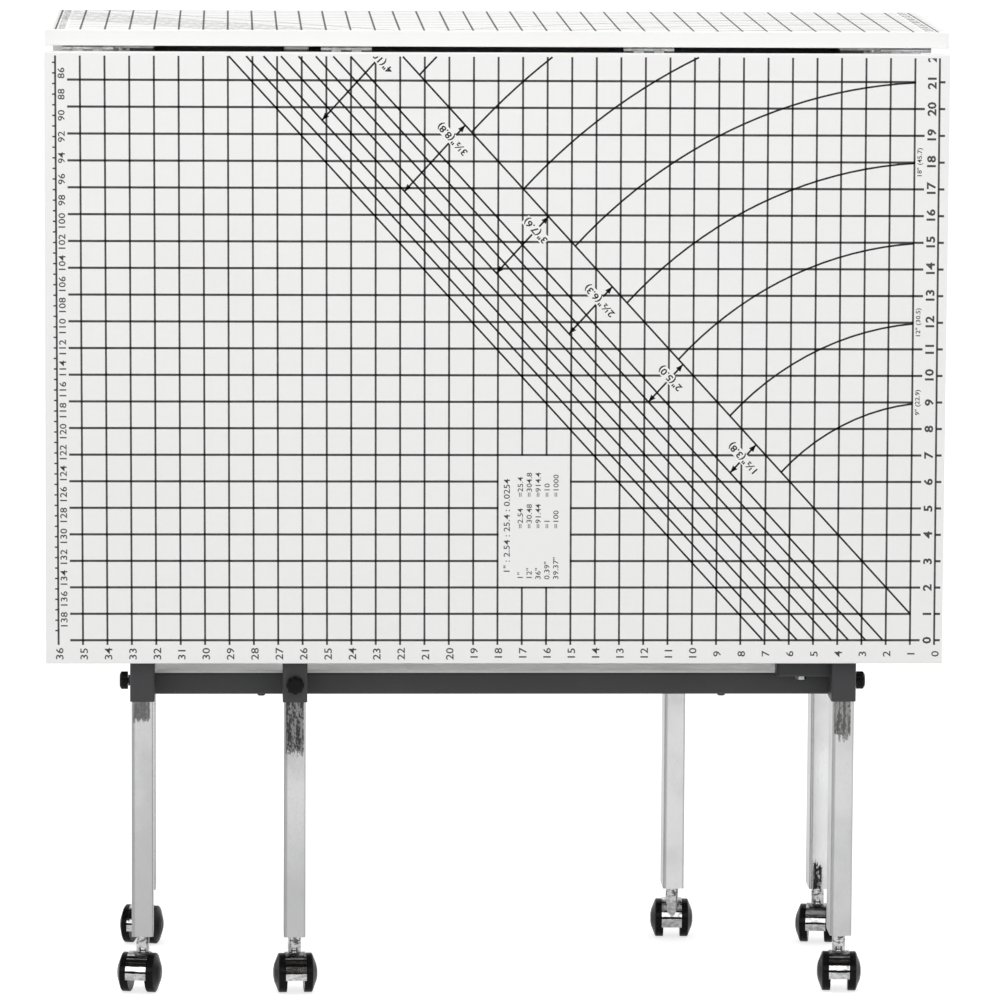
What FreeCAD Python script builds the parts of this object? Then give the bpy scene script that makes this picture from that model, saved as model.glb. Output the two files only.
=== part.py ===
import FreeCAD, Part
import math
import os

# Folding cutting table: a narrow centre board on a tube frame, two long leaves that
# hang from butt hinges, two swing-out gates that hold the leaves level, and six
# telescopic legs on twin-wheel casters.
# Millimetres. +Z up, X along the hinges, the front leaf hangs on the -Y side.
# The origin is on the floor under the middle of the table.

# Boards
table_height = 984.0
table_width = 908.0
centre_depth = 332.0
leaf_length = 618.0
board_thickness = 16.0
board_edge_radius = 0.8

# Butt hinges between the centre board and the leaves
hinge_length = 51.0
knuckle_count = 5
knuckle_radius = 2.2
knuckle_end_gap = 0.4
hinge_clearance = 0.3
hinge_plate_thickness = 1.2
hinge_plate_reach = 24.0
hinge_pin_radius = 1.2
leaf_gap = 0.4
hinge_to_plate_gap = 2.0
hinge_to_gate_gap = 12.0

# Wood screws of the hinges, the frame and the mounting plates
hinge_screw_radius = 1.6
hinge_screw_head_radius = 3.2
hinge_screw_head_height = 1.4
hinge_screw_spacing = 30.0
hinge_screw_setback = 15.0
frame_screw_radius = 2.2
frame_screw_head_radius = 4.4
frame_screw_head_height = 2.4
screw_head_taper = 0.7
screw_cover = 4.0
screw_clearance = 0.1

# Corner uprights and the rails between them
frame_inset = 84.5
frame_setback = 11.0
upright_width = 25.0
upright_depth = 50.0
upright_wall = 1.2
upright_corner_radius = 3.0
upright_drop = 43.5
rail_size = 22.0
rail_wall = 1.2
rail_corner_radius = 2.0
rail_screw_inset = 60.0
mounting_plate_thickness = 3.0
mounting_plate_overhang = 14.0
mounting_screw_spacing = 30.0

# Shelf panel on the lower rails
shelf_thickness = 3.0
shelf_bolt_radius = 2.5
shelf_bolt_head_radius = 5.0
shelf_bolt_head_height = 2.8
shelf_bolt_inset = 110.0

# Swing-out gates, their brackets and pivots
gate_bumper_gap = 4.0
gate_upright_gap = 130.0
bracket_length = 51.5
bracket_cap_thickness = 3.0
bracket_cap_depth = 8.0
pivot_offset = 28.5
pivot_gap = 1.0
pivot_bolt_radius = 3.0
pivot_bolt_head_flats = 10.0
pivot_bolt_head_height = 4.0
pivot_clearance = 0.06
bush_depth = 20.0
bush_flange_radius = 9.0
gate_pad_thickness = 3.0
gate_pad_depth = 10.0
gate_pad_clearance = 0.5

# Telescopic legs
slide_clearance = 0.3
leg_wall = 1.2
leg_corner_radius = 2.2
leg_engagement = 95.6
leg_plug_height = 24.0

# Clamp knobs
knob_radius = 9.0
knob_thickness = 8.5
knob_lobes = 8
knob_scallop_radius = 2.6
knob_scallop_offset = 1.6
knob_crown_radius = 6.4
knob_crown_height = 1.8
knob_height_on_upright = 18.5
knob_stud_radius = 3.0
knob_boss_radius = 5.5
knob_boss_length = 2.0
knob_head_gap = 0.3
knob_tip_gap = 0.1
thread_clearance = 0.06

# Twin-wheel casters
caster_height = 58.2
caster_trail = 14.5
wheel_radius = 20.2
wheel_inner_face = 8.8
wheel_tread_end = 16.6
wheel_shoulder_face = 17.5
wheel_shoulder_radius = 19.2
wheel_flank_face = 21.5
wheel_flank_radius = 9.0
wheel_outer_face = 22.4
wheel_cap_radius = 4.5
wheel_edge_chamfer = 0.6
wheel_side_gap = 0.3
axle_radius = 2.5
axle_end_cover = 3.0
axle_clearance = 0.06
axle_boss_radius = 5.0
hood_radius = 21.6
hood_wall = 0.9
hood_half_width = 10.6
hood_trailing_angle = -13.0
hood_stem_angle = 200.0
web_half_width = 3.0
web_trailing_angle = 25.0
web_stem_angle = 165.0
stem_pin_radius = 5.0
stem_pin_length = 18.0
stem_pin_clearance = 0.06
stem_collar_radius = 6.65
stem_collar_height = 3.0
stem_neck_radius = 6.0
stem_neck_height = 1.6
stem_boss_rise = 4.0
swivel_gap = 0.3
stem_hole_end_gap = 1.0

# How far each caster stands turned about its stem, from trailing to the front
caster_turns = {"front_left": -12.0, "front_right": -3.0, "rear_left": -16.0,
                "rear_right": -8.0, "front_gate": 3.0, "rear_gate": 178.0}

Vector = FreeCAD.Vector
X_AXIS = Vector(1, 0, 0)
Y_AXIS = Vector(0, 1, 0)
Z_AXIS = Vector(0, 0, 1)
overcut = 1.0
parallel_tolerance = 0.1

# Places that several pieces share
half_width = table_width / 2
half_depth = centre_depth / 2
board_underside = table_height - board_thickness
hinge_offset = knuckle_radius + hinge_clearance
hinge_y = half_depth - hinge_offset
hinge_z = board_underside - hinge_offset
leaf_top_edge = hinge_z - hinge_offset - leaf_gap
leaf_bottom_edge = leaf_top_edge - leaf_length

frame_outer_x = half_width - frame_inset
frame_inner_x = frame_outer_x - upright_width
upright_x = frame_outer_x - upright_width / 2
upright_front_y = half_depth - frame_setback
upright_back_y = upright_front_y - upright_depth
upright_y = upright_front_y - upright_depth / 2
upright_bottom = leaf_bottom_edge - upright_drop
upright_top = board_underside - mounting_plate_thickness
side_rail_inner_x = upright_x - rail_size / 2
side_rail_outer_x = upright_x + rail_size / 2
rail_back_y = upright_back_y - rail_size
rail_y = upright_back_y - rail_size / 2
lower_rail_top = upright_bottom + rail_size
top_rail_bottom = board_underside - rail_size
shelf_top = lower_rail_top + shelf_thickness

gate_back_y = upright_back_y + gate_bumper_gap
gate_rail_front_y = gate_back_y + rail_size
gate_rail_y = gate_back_y + rail_size / 2
gate_upright_y = gate_back_y + upright_depth / 2
gate_upright_outer_x = frame_inner_x - gate_upright_gap
gate_upright_inner_x = gate_upright_outer_x - upright_width
gate_upright_x = gate_upright_outer_x - upright_width / 2
gate_pad_top = board_underside - gate_pad_clearance
gate_upright_top = gate_pad_top - gate_pad_thickness
pivot_x = frame_inner_x - pivot_offset
bracket_end_x = frame_inner_x - bracket_length
low_bracket_top = lower_rail_top + rail_size
high_bracket_bottom = top_rail_bottom - rail_size
gate_post_bottom = low_bracket_top + pivot_gap
gate_post_top = high_bracket_bottom - pivot_gap
gate_post_half = rail_size / 2

mounting_plate_outer_x = frame_outer_x + mounting_plate_overhang
outer_hinge_x = mounting_plate_outer_x + hinge_to_plate_gap + hinge_length / 2
inner_hinge_x = gate_upright_inner_x - hinge_to_gate_gap - hinge_length / 2
hinge_centres = [-outer_hinge_x, -inner_hinge_x, inner_hinge_x, outer_hinge_x]

knob_z = upright_bottom + knob_height_on_upright
leg_bottom = caster_height
leg_top = upright_bottom + leg_engagement
leg_width = upright_width - 2 * upright_wall - 2 * slide_clearance
leg_depth = upright_depth - 2 * upright_wall - 2 * slide_clearance


def block(low, high, radius=0.0, along=Z_AXIS):
    """A box between two corners, its edges along one direction rounded."""
    size = [high[i] - low[i] for i in range(3)]
    shape = Part.makeBox(size[0], size[1], size[2], Vector(*low))
    if radius > 0:
        edges = [edge for edge in shape.Edges if edge.tangentAt(0).cross(along).Length < parallel_tolerance]
        shape = shape.makeFillet(radius, edges)
    return shape


def grown(low, high, amount, along):
    """The same two corners moved outwards along one direction and inwards on the others by a wall."""
    direction = list(along)
    new_low = [low[i] - overcut if direction[i] else low[i] + amount for i in range(3)]
    new_high = [high[i] + overcut if direction[i] else high[i] - amount for i in range(3)]
    return new_low, new_high


def tube(low, high, wall, radius, along):
    """A rectangular tube with rounded corners, open at both ends."""
    outer = block(low, high, radius, along)
    inner_low, inner_high = grown(low, high, wall, along)
    return outer.cut(block(inner_low, inner_high, radius - wall, along))


def round_bar(radius, length, start, along):
    """A cylinder from a start point along a direction."""
    return Part.makeCylinder(radius, length, Vector(*start), Vector(*along))


def half_turn(shape):
    """The same piece on the other side of the table, turned about the vertical axis."""
    other = shape.copy()
    other.rotate(Vector(0, 0, 0), Z_AXIS, 180)
    return other


def both_sides(shapes):
    """The given pieces and their copies on the other side of the table."""
    return shapes + [half_turn(shape) for shape in shapes]


def save(node, shapes):
    """Write one node: a single solid, or a group of separate solids."""
    shape = shapes[0] if len(shapes) == 1 else Part.Compound(shapes)
    shape.exportStep("parts/" + node + ".step")


def pan_screw(radius, head_radius, head_height, length, seat, along):
    """A screw whose head lies against the seat and whose shank runs along the direction."""
    direction = Vector(*along)
    head_start = Vector(*seat) - direction * head_height
    crown_radius = head_radius * screw_head_taper
    head = Part.makeCone(crown_radius, head_radius, head_height, head_start, direction)
    shank = Part.makeCylinder(radius, length, Vector(*seat), direction)
    return head.fuse(shank).removeSplitter()


# Butt hinges. Each hinge is built at its centre on the front side.

def knuckle_spans(first):
    """Start and end along X of every second knuckle, counted from the given one."""
    pitch = hinge_length / knuckle_count
    starts = [-hinge_length / 2 + pitch * i for i in range(first, knuckle_count, 2)]
    return [(start + knuckle_end_gap / 2, start + pitch - knuckle_end_gap / 2) for start in starts]


def knuckles(centre_x, first):
    """The barrel pieces of one plate, without the bore."""
    rings = []
    for start, end in knuckle_spans(first):
        place = (centre_x + start, -hinge_y, hinge_z)
        rings.append(round_bar(knuckle_radius, end - start, place, (1, 0, 0)))
    return rings


def pin_bore(centre_x):
    """The hole for the hinge pin through the whole barrel."""
    radius = hinge_pin_radius + pivot_clearance
    length = hinge_length + 2 * overcut
    return round_bar(radius, length, (centre_x - length / 2, -hinge_y, hinge_z), (1, 0, 0))


def hinge_screw_places():
    """Places of the screws along X from the middle of a hinge."""
    return [-hinge_screw_spacing / 2, hinge_screw_spacing / 2]


def plate_hole(start, along):
    """A screw hole through a hinge plate, from a start just outside it."""
    length = hinge_plate_thickness + 2 * overcut
    return round_bar(hinge_screw_radius + screw_clearance, length, start, along)


def fixed_plate(centre_x):
    """The plate under the centre board with the end and middle knuckles."""
    top = hinge_z + hinge_offset
    low = (centre_x - hinge_length / 2, -hinge_y, top - hinge_plate_thickness)
    high = (centre_x + hinge_length / 2, -hinge_y + hinge_plate_reach, top)
    plate = block(low, high)
    for start, end in knuckle_spans(1):
        notch_low = (centre_x + start - knuckle_end_gap, -hinge_y - overcut, low[2] - overcut)
        notch_high = (centre_x + end + knuckle_end_gap, -hinge_y + hinge_offset, top + overcut)
        plate = plate.cut(block(notch_low, notch_high))
    plate = plate.multiFuse(knuckles(centre_x, 0)).cut(pin_bore(centre_x))
    for place in hinge_screw_places():
        start = (centre_x + place, -hinge_y + hinge_screw_setback, low[2] - overcut)
        plate = plate.cut(plate_hole(start, (0, 0, 1)))
    return plate.removeSplitter()


def moving_plate(centre_x):
    """The plate on the inner face of the front leaf with the two knuckles between the fixed ones."""
    face_y = -hinge_y - hinge_offset
    inner_y = face_y + hinge_plate_thickness
    low = (centre_x - hinge_length / 2, face_y, hinge_z - hinge_plate_reach)
    high = (centre_x + hinge_length / 2, inner_y, leaf_top_edge)
    pieces = knuckles(centre_x, 1)
    for start, end in knuckle_spans(1):
        arm_low = (centre_x + start, -hinge_y - knuckle_radius, leaf_top_edge - overcut)
        arm_high = (centre_x + end, inner_y, hinge_z)
        pieces.append(block(arm_low, arm_high))
    plate = block(low, high).multiFuse(pieces).cut(pin_bore(centre_x))
    for place in hinge_screw_places():
        start = (centre_x + place, inner_y + overcut, hinge_z - hinge_screw_setback)
        plate = plate.cut(plate_hole(start, (0, -1, 0)))
    return plate.removeSplitter()


def hinge_pin(centre_x):
    """The plain pin through all the knuckles."""
    start = (centre_x - hinge_length / 2, -hinge_y, hinge_z)
    return round_bar(hinge_pin_radius, hinge_length, start, (1, 0, 0))


def hinge_screw_length():
    """Length of a hinge screw under its head."""
    return hinge_plate_thickness + board_thickness - screw_cover


def fixed_screws(centre_x):
    """Screws up through a fixed plate into the centre board."""
    seat_z = hinge_z + hinge_offset - hinge_plate_thickness
    seats = [(centre_x + place, -hinge_y + hinge_screw_setback, seat_z) for place in hinge_screw_places()]
    return [pan_screw(hinge_screw_radius, hinge_screw_head_radius, hinge_screw_head_height,
                      hinge_screw_length(), seat, (0, 0, 1)) for seat in seats]


def moving_screws(centre_x):
    """Screws outwards through a moving plate into the front leaf."""
    seat_y = -hinge_y - hinge_offset + hinge_plate_thickness
    seats = [(centre_x + place, seat_y, hinge_z - hinge_screw_setback) for place in hinge_screw_places()]
    return [pan_screw(hinge_screw_radius, hinge_screw_head_radius, hinge_screw_head_height,
                      hinge_screw_length(), seat, (0, -1, 0)) for seat in seats]


# Boards

def screw_hole(radius, length, start, along):
    """The hole that a screw of the given shank makes."""
    return round_bar(radius + screw_clearance, length + screw_clearance, start, along)


def rail_screw_places():
    """Places along X of the screws through a top rail."""
    end = side_rail_inner_x - rail_screw_inset
    return [-end, 0.0, end]


def mounting_screw_places():
    """Places of the screws of the two front mounting plates."""
    x = mounting_plate_outer_x - mounting_plate_overhang / 2
    ys = [-upright_y - mounting_screw_spacing / 2, -upright_y + mounting_screw_spacing / 2]
    return [(side * x, y) for side in (-1, 1) for y in ys]


def centre_board():
    """The middle board with the holes of the screws that hold it from below."""
    board = block((-half_width, -half_depth, board_underside), (half_width, half_depth, table_height),
                  board_edge_radius, X_AXIS)
    depth = board_thickness - screw_cover
    holes = []
    for centre_x in hinge_centres:
        for place in hinge_screw_places():
            start = (centre_x + place, -hinge_y + hinge_screw_setback, board_underside)
            holes.append(screw_hole(hinge_screw_radius, depth, start, (0, 0, 1)))
    for x in rail_screw_places():
        holes.append(screw_hole(frame_screw_radius, depth, (x, -rail_y, board_underside), (0, 0, 1)))
    for x, y in mounting_screw_places():
        holes.append(screw_hole(frame_screw_radius, depth, (x, y, board_underside), (0, 0, 1)))
    return board.cut(Part.Compound(both_sides(holes)))


def front_leaf_board():
    """The leaf that hangs at the front, with the holes of its hinge screws."""
    inner_y = -hinge_y - hinge_offset
    board = block((-half_width, inner_y - board_thickness, leaf_bottom_edge),
                  (half_width, inner_y, leaf_top_edge), board_edge_radius, X_AXIS)
    holes = []
    for centre_x in hinge_centres:
        for place in hinge_screw_places():
            start = (centre_x + place, inner_y, hinge_z - hinge_screw_setback)
            holes.append(screw_hole(hinge_screw_radius, board_thickness - screw_cover, start, (0, -1, 0)))
    return board.cut(Part.Compound(holes))


# Frame

def stud_hole(face, direction):
    """The threaded hole through an upright's boss and wall."""
    start = Vector(*face) + direction * (knob_boss_length + overcut)
    length = knob_boss_length + upright_wall + 2 * overcut
    return Part.makeCylinder(knob_stud_radius + thread_clearance, length, start, direction * -1)


def upright(x, y, top, face, direction):
    """A rectangular tube with the threaded boss of its clamp knob on one face."""
    low = (x - upright_width / 2, y - upright_depth / 2, upright_bottom)
    high = (x + upright_width / 2, y + upright_depth / 2, top)
    post = tube(low, high, upright_wall, upright_corner_radius, Z_AXIS)
    boss = Part.makeCylinder(knob_boss_radius, knob_boss_length, Vector(*face), direction)
    return post.fuse(boss).cut(stud_hole(face, direction)).removeSplitter()


def mounting_plate(side, front):
    """The flat plate between an upright and the centre board, with a screwed tab outside."""
    inner_x = side * (frame_outer_x - upright_width)
    outer_x = side * mounting_plate_outer_x
    low = (min(inner_x, outer_x), front * upright_y - upright_depth / 2, upright_top)
    high = (max(inner_x, outer_x), front * upright_y + upright_depth / 2, board_underside)
    plate = block(low, high, upright_corner_radius, Z_AXIS)
    for x, y in mounting_screw_places():
        start = (side * abs(x), -front * y, upright_top - overcut)
        length = mounting_plate_thickness + 2 * overcut
        plate = plate.cut(round_bar(frame_screw_radius + screw_clearance, length, start, (0, 0, 1)))
    return plate


def rail_holes(rail, places, radius, bottom):
    """A rail with a hole straight through it at each place."""
    for x in places:
        start = (x, -rail_y, bottom - overcut)
        rail = rail.cut(round_bar(radius + screw_clearance, rail_size + 2 * overcut, start, (0, 0, 1)))
    return rail


def front_rail(bottom):
    """A long rail between the side rails, at the front of the frame."""
    low = (-side_rail_inner_x, -upright_back_y, bottom)
    high = (side_rail_inner_x, -rail_back_y, bottom + rail_size)
    return tube(low, high, rail_wall, rail_corner_radius, X_AXIS)


def front_top_rail():
    """The rail under the centre board, pierced for its wood screws."""
    return rail_holes(front_rail(top_rail_bottom), rail_screw_places(), frame_screw_radius, top_rail_bottom)


def shelf_bolt_places():
    """Places along X of the shelf bolts in a lower rail."""
    x = side_rail_inner_x - shelf_bolt_inset
    return [-x, x]


def front_lower_rail():
    """The rail that carries the shelf, pierced for the shelf bolts."""
    return rail_holes(front_rail(upright_bottom), shelf_bolt_places(), shelf_bolt_radius, upright_bottom)


def right_side_rails():
    """The short rails at the top and bottom of the right side, between the uprights."""
    rails = []
    for bottom in (upright_bottom, top_rail_bottom):
        low = (side_rail_inner_x, -upright_back_y, bottom)
        high = (side_rail_outer_x, upright_back_y, bottom + rail_size)
        rails.append(tube(low, high, rail_wall, rail_corner_radius, Y_AXIS))
    return rails


def shelf_panel():
    """The thin panel that lies on the lower rails."""
    low = (-side_rail_outer_x, -upright_back_y, lower_rail_top)
    high = (side_rail_outer_x, upright_back_y, shelf_top)
    panel = block(low, high)
    holes = [round_bar(shelf_bolt_radius + screw_clearance, shelf_thickness + 2 * overcut,
                       (x, -rail_y, lower_rail_top - overcut), (0, 0, 1)) for x in shelf_bolt_places()]
    return panel.cut(Part.Compound(both_sides(holes)))


def shelf_bolts():
    """Bolts up through the front lower rail and the shelf panel."""
    length = rail_size + shelf_thickness
    return [pan_screw(shelf_bolt_radius, shelf_bolt_head_radius, shelf_bolt_head_height, length,
                      (x, -rail_y, upright_bottom), (0, 0, 1)) for x in shelf_bolt_places()]


def frame_screws():
    """Long screws through the front top rail, and short ones through the front mounting plates."""
    into_board = board_thickness - screw_cover
    screws = [pan_screw(frame_screw_radius, frame_screw_head_radius, frame_screw_head_height,
                        rail_size + into_board, (x, -rail_y, top_rail_bottom), (0, 0, 1))
              for x in rail_screw_places()]
    for x, y in mounting_screw_places():
        screws.append(pan_screw(frame_screw_radius, frame_screw_head_radius, frame_screw_head_height,
                                mounting_plate_thickness + into_board, (x, y, upright_top), (0, 0, 1)))
    return screws


# Gate pivots on the frame. The front gate hangs on the right front upright.

def pivot_bracket(bottom):
    """A tube stub on the upright, pierced for the pivot bolt."""
    low = (bracket_end_x, -gate_rail_front_y, bottom)
    high = (frame_inner_x, -gate_back_y, bottom + rail_size)
    stub = tube(low, high, rail_wall, rail_corner_radius, X_AXIS)
    start = (pivot_x, -gate_rail_y, bottom - overcut)
    bore_radius = pivot_bolt_radius + pivot_clearance
    return stub.cut(round_bar(bore_radius, rail_size + 2 * overcut, start, (0, 0, 1)))


def bracket_cap(bottom):
    """The moulded cap that closes the free end of a bracket."""
    low = (bracket_end_x - bracket_cap_thickness, -gate_rail_front_y, bottom)
    high = (bracket_end_x, -gate_back_y, bottom + rail_size)
    head = block(low, high, rail_corner_radius, X_AXIS)
    tongue_low = (bracket_end_x - overcut, low[1] + rail_wall, low[2] + rail_wall)
    tongue_high = (bracket_end_x + bracket_cap_depth, high[1] - rail_wall, high[2] - rail_wall)
    return head.fuse(block(tongue_low, tongue_high, rail_corner_radius, X_AXIS)).removeSplitter()


def hexagon(flats, height, start, along):
    """A hexagonal head of the given width over flats."""
    radius = flats / math.sqrt(3)
    turns = [math.radians(360 * i / 6) for i in range(6)]
    corners = [Vector(radius * math.cos(turn), radius * math.sin(turn), 0) for turn in turns]
    outline = Part.makePolygon(corners + corners[:1])
    head = Part.Face(outline).extrude(Vector(0, 0, height * along))
    head.translate(Vector(*start))
    return head


def pivot_bolt(seat_z, along):
    """A hexagon-headed bolt through a bracket into the gate post."""
    length = rail_size + pivot_gap + bush_depth
    head = hexagon(pivot_bolt_head_flats, pivot_bolt_head_height, (pivot_x, -gate_rail_y, seat_z), -along)
    shank = round_bar(pivot_bolt_radius, length, (pivot_x, -gate_rail_y, seat_z), (0, 0, along))
    return head.fuse(shank).removeSplitter()


# Front gate

def gate_post():
    """The square tube that turns on the two pivot bolts."""
    low = (pivot_x - gate_post_half, -gate_rail_y - gate_post_half, gate_post_bottom)
    high = (pivot_x + gate_post_half, -gate_rail_y + gate_post_half, gate_post_top)
    return tube(low, high, rail_wall, rail_corner_radius, Z_AXIS)


def gate_bush(end_z, inwards):
    """A flanged plug in the end of the gate post, bored for the pivot bolt."""
    half = gate_post_half - rail_wall
    far_z = end_z + inwards * (bush_depth + overcut)
    low = (pivot_x - half, -gate_rail_y - half, min(end_z, far_z))
    high = (pivot_x + half, -gate_rail_y + half, max(end_z, far_z))
    plug = block(low, high, rail_corner_radius, Z_AXIS)
    flange_thickness = pivot_gap - swivel_gap
    centre = (pivot_x, -gate_rail_y, end_z)
    flange = round_bar(bush_flange_radius, flange_thickness, centre, (0, 0, -inwards))
    bore_start = (pivot_x, -gate_rail_y, end_z - inwards * pivot_gap)
    bore_length = bush_depth + pivot_gap + 2 * overcut
    bore = round_bar(pivot_bolt_radius + pivot_clearance, bore_length, bore_start, (0, 0, inwards))
    return plug.fuse(flange).cut(bore).removeSplitter()


def gate_rail(bottom):
    """A rail between the gate post and the gate upright."""
    low = (-gate_upright_inner_x, -gate_rail_front_y, bottom)
    high = (pivot_x - gate_post_half, -gate_back_y, bottom + rail_size)
    return tube(low, high, rail_wall, rail_corner_radius, X_AXIS)


def gate_pad():
    """The moulded pad on top of the gate upright, on which the raised leaf rests."""
    x = -gate_upright_x
    low = (x - upright_width / 2, -gate_upright_y - upright_depth / 2, gate_upright_top)
    high = (x + upright_width / 2, -gate_upright_y + upright_depth / 2, gate_pad_top)
    head = block(low, high, upright_corner_radius, Z_AXIS)
    tongue_low = (low[0] + upright_wall, low[1] + upright_wall, gate_upright_top - gate_pad_depth)
    tongue_high = (high[0] - upright_wall, high[1] - upright_wall, gate_upright_top + overcut)
    return head.fuse(block(tongue_low, tongue_high, upright_corner_radius, Z_AXIS)).removeSplitter()


# Legs, knobs and casters. Each is built on its own axis and moved to its station.

def leg_tube(x, y):
    """The chromed inner tube that slides in an upright."""
    low = (x - leg_width / 2, y - leg_depth / 2, leg_bottom)
    high = (x + leg_width / 2, y + leg_depth / 2, leg_top)
    return tube(low, high, leg_wall, leg_corner_radius, Z_AXIS)


def leg_plug(x, y):
    """The plug in the foot of a leg, bored for the caster's stem."""
    half_x = leg_width / 2 - leg_wall
    half_y = leg_depth / 2 - leg_wall
    low = (x - half_x, y - half_y, leg_bottom)
    high = (x + half_x, y + half_y, leg_bottom + leg_plug_height)
    plug = block(low, high, leg_corner_radius, Z_AXIS)
    bore_length = stem_pin_length + stem_hole_end_gap + overcut
    start = (x, y, leg_bottom - overcut)
    return plug.cut(round_bar(stem_pin_radius + stem_pin_clearance, bore_length, start, (0, 0, 1)))


def revolved(points, axis):
    """A solid of revolution about an axis through the origin, from a closed outline."""
    outline = Part.makePolygon([Vector(*point) for point in points + points[:1]])
    return Part.Face(outline).revolve(Vector(0, 0, 0), axis, 360)


def knob(face, direction):
    """A lobed clamp knob with its stud, on the boss of an upright."""
    inner = knob_boss_length + knob_head_gap
    outer = inner + knob_thickness
    tip = -(upright_wall + slide_clearance - knob_tip_gap)
    outline = [(tip, 0, 0), (tip, knob_stud_radius, 0), (inner, knob_stud_radius, 0),
               (inner, knob_radius, 0), (outer - knob_crown_height, knob_radius, 0),
               (outer, knob_crown_radius, 0), (outer, 0, 0)]
    shape = revolved(outline, X_AXIS)
    reach = knob_radius + knob_scallop_offset
    for i in range(knob_lobes):
        angle = math.radians(360 * (i + 0.5) / knob_lobes)
        start = (inner - overcut, reach * math.cos(angle), reach * math.sin(angle))
        shape = shape.cut(round_bar(knob_scallop_radius, knob_thickness + 2 * overcut, start, (1, 0, 0)))
    shape.Placement = FreeCAD.Placement(Vector(*face), FreeCAD.Rotation(X_AXIS, direction))
    return shape


def polar(angle, radius):
    """A point of the caster's side view, with the angle up from the trailing side of the axle."""
    turn = math.radians(angle)
    return Vector(0, -caster_trail - radius * math.cos(turn), wheel_radius + radius * math.sin(turn))


def ring_sector(inner, outer, low_angle, high_angle, half_thickness):
    """A ring sector about the axle, extruded evenly to both sides."""
    middle = (low_angle + high_angle) / 2
    outer_arc = Part.Arc(polar(low_angle, outer), polar(middle, outer), polar(high_angle, outer)).toShape()
    inner_arc = Part.Arc(polar(high_angle, inner), polar(middle, inner), polar(low_angle, inner)).toShape()
    high_side = Part.makeLine(polar(high_angle, outer), polar(high_angle, inner))
    low_side = Part.makeLine(polar(low_angle, inner), polar(low_angle, outer))
    face = Part.Face(Part.Wire([outer_arc, high_side, inner_arc, low_side]))
    face.translate(Vector(-half_thickness, 0, 0))
    return face.extrude(Vector(2 * half_thickness, 0, 0))


def caster_stem():
    """The swivel pin, the necked collar and the round boss that runs down into the hood."""
    top = caster_height - swivel_gap
    neck_top = top - stem_collar_height
    neck_bottom = neck_top - stem_neck_height
    boss_bottom = wheel_radius + stem_boss_rise
    pin_top = caster_height + stem_pin_length
    outline = [(0, 0, boss_bottom), (stem_collar_radius, 0, boss_bottom),
               (stem_collar_radius, 0, neck_bottom), (stem_neck_radius, 0, neck_bottom),
               (stem_neck_radius, 0, neck_top), (stem_collar_radius, 0, neck_top),
               (stem_collar_radius, 0, top), (stem_pin_radius, 0, top),
               (stem_pin_radius, 0, pin_top), (0, 0, pin_top)]
    return revolved(outline, Z_AXIS)


def axle():
    """The steel axle of a caster."""
    half = wheel_outer_face - axle_end_cover
    return round_bar(axle_radius, 2 * half, (-half, -caster_trail, wheel_radius), (1, 0, 0))


def caster_body():
    """The stem, the hood over both wheels, and the web between them with the axle boss."""
    half = wheel_inner_face - wheel_side_gap
    inner = hood_radius - hood_wall
    hood = ring_sector(inner, hood_radius, hood_trailing_angle, hood_stem_angle, hood_half_width)
    web = ring_sector(axle_radius, inner + hood_wall / 2, web_trailing_angle, web_stem_angle, web_half_width)
    boss = round_bar(axle_boss_radius, 2 * half, (-half, -caster_trail, wheel_radius), (1, 0, 0))
    bore = round_bar(axle_radius + axle_clearance, 2 * half + 2 * overcut,
                     (-half - overcut, -caster_trail, wheel_radius), (1, 0, 0))
    return caster_stem().multiFuse([hood, web, boss]).cut(bore).removeSplitter()


def right_wheel():
    """A wheel on the +X side with a coned and capped outer face, bored from inside for the axle."""
    bore = axle_radius + axle_clearance
    bore_end = wheel_outer_face - axle_end_cover + wheel_side_gap
    inner = wheel_inner_face
    rim = wheel_radius
    outline = [(bore_end, 0, 0), (bore_end, bore, 0), (inner, bore, 0), (inner, rim - wheel_edge_chamfer, 0),
               (inner + wheel_edge_chamfer, rim, 0), (wheel_tread_end, rim, 0),
               (wheel_shoulder_face, wheel_shoulder_radius, 0), (wheel_flank_face, wheel_flank_radius, 0),
               (wheel_outer_face, wheel_cap_radius, 0), (wheel_outer_face, 0, 0)]
    shape = revolved(outline, X_AXIS)
    shape.translate(Vector(0, -caster_trail, wheel_radius))
    return shape


def left_wheel():
    """The wheel on the -X side."""
    other = right_wheel()
    other.rotate(Vector(0, -caster_trail, 0), Z_AXIS, 180)
    return other


def at_station(shapes, x, y, turn):
    """Caster pieces turned about the stem axis and moved to their leg."""
    placed = [shape.copy() for shape in shapes]
    for shape in placed:
        shape.rotate(Vector(0, 0, 0), Z_AXIS, turn)
        shape.translate(Vector(x, y, 0))
    return placed


def save_leg_station(name, x, y, face, direction):
    """Leg, knob, caster body with axle, and wheels of one leg."""
    turn = caster_turns[name]
    save(name + "_leg", [leg_tube(x, y), leg_plug(x, y)])
    save(name + "_knob", [knob(face, direction)])
    save(name + "_caster_body", at_station([caster_body(), axle()], x, y, turn))
    save(name + "_caster_wheels", at_station([right_wheel(), left_wheel()], x, y, turn))


os.makedirs("parts", exist_ok=True)

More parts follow.
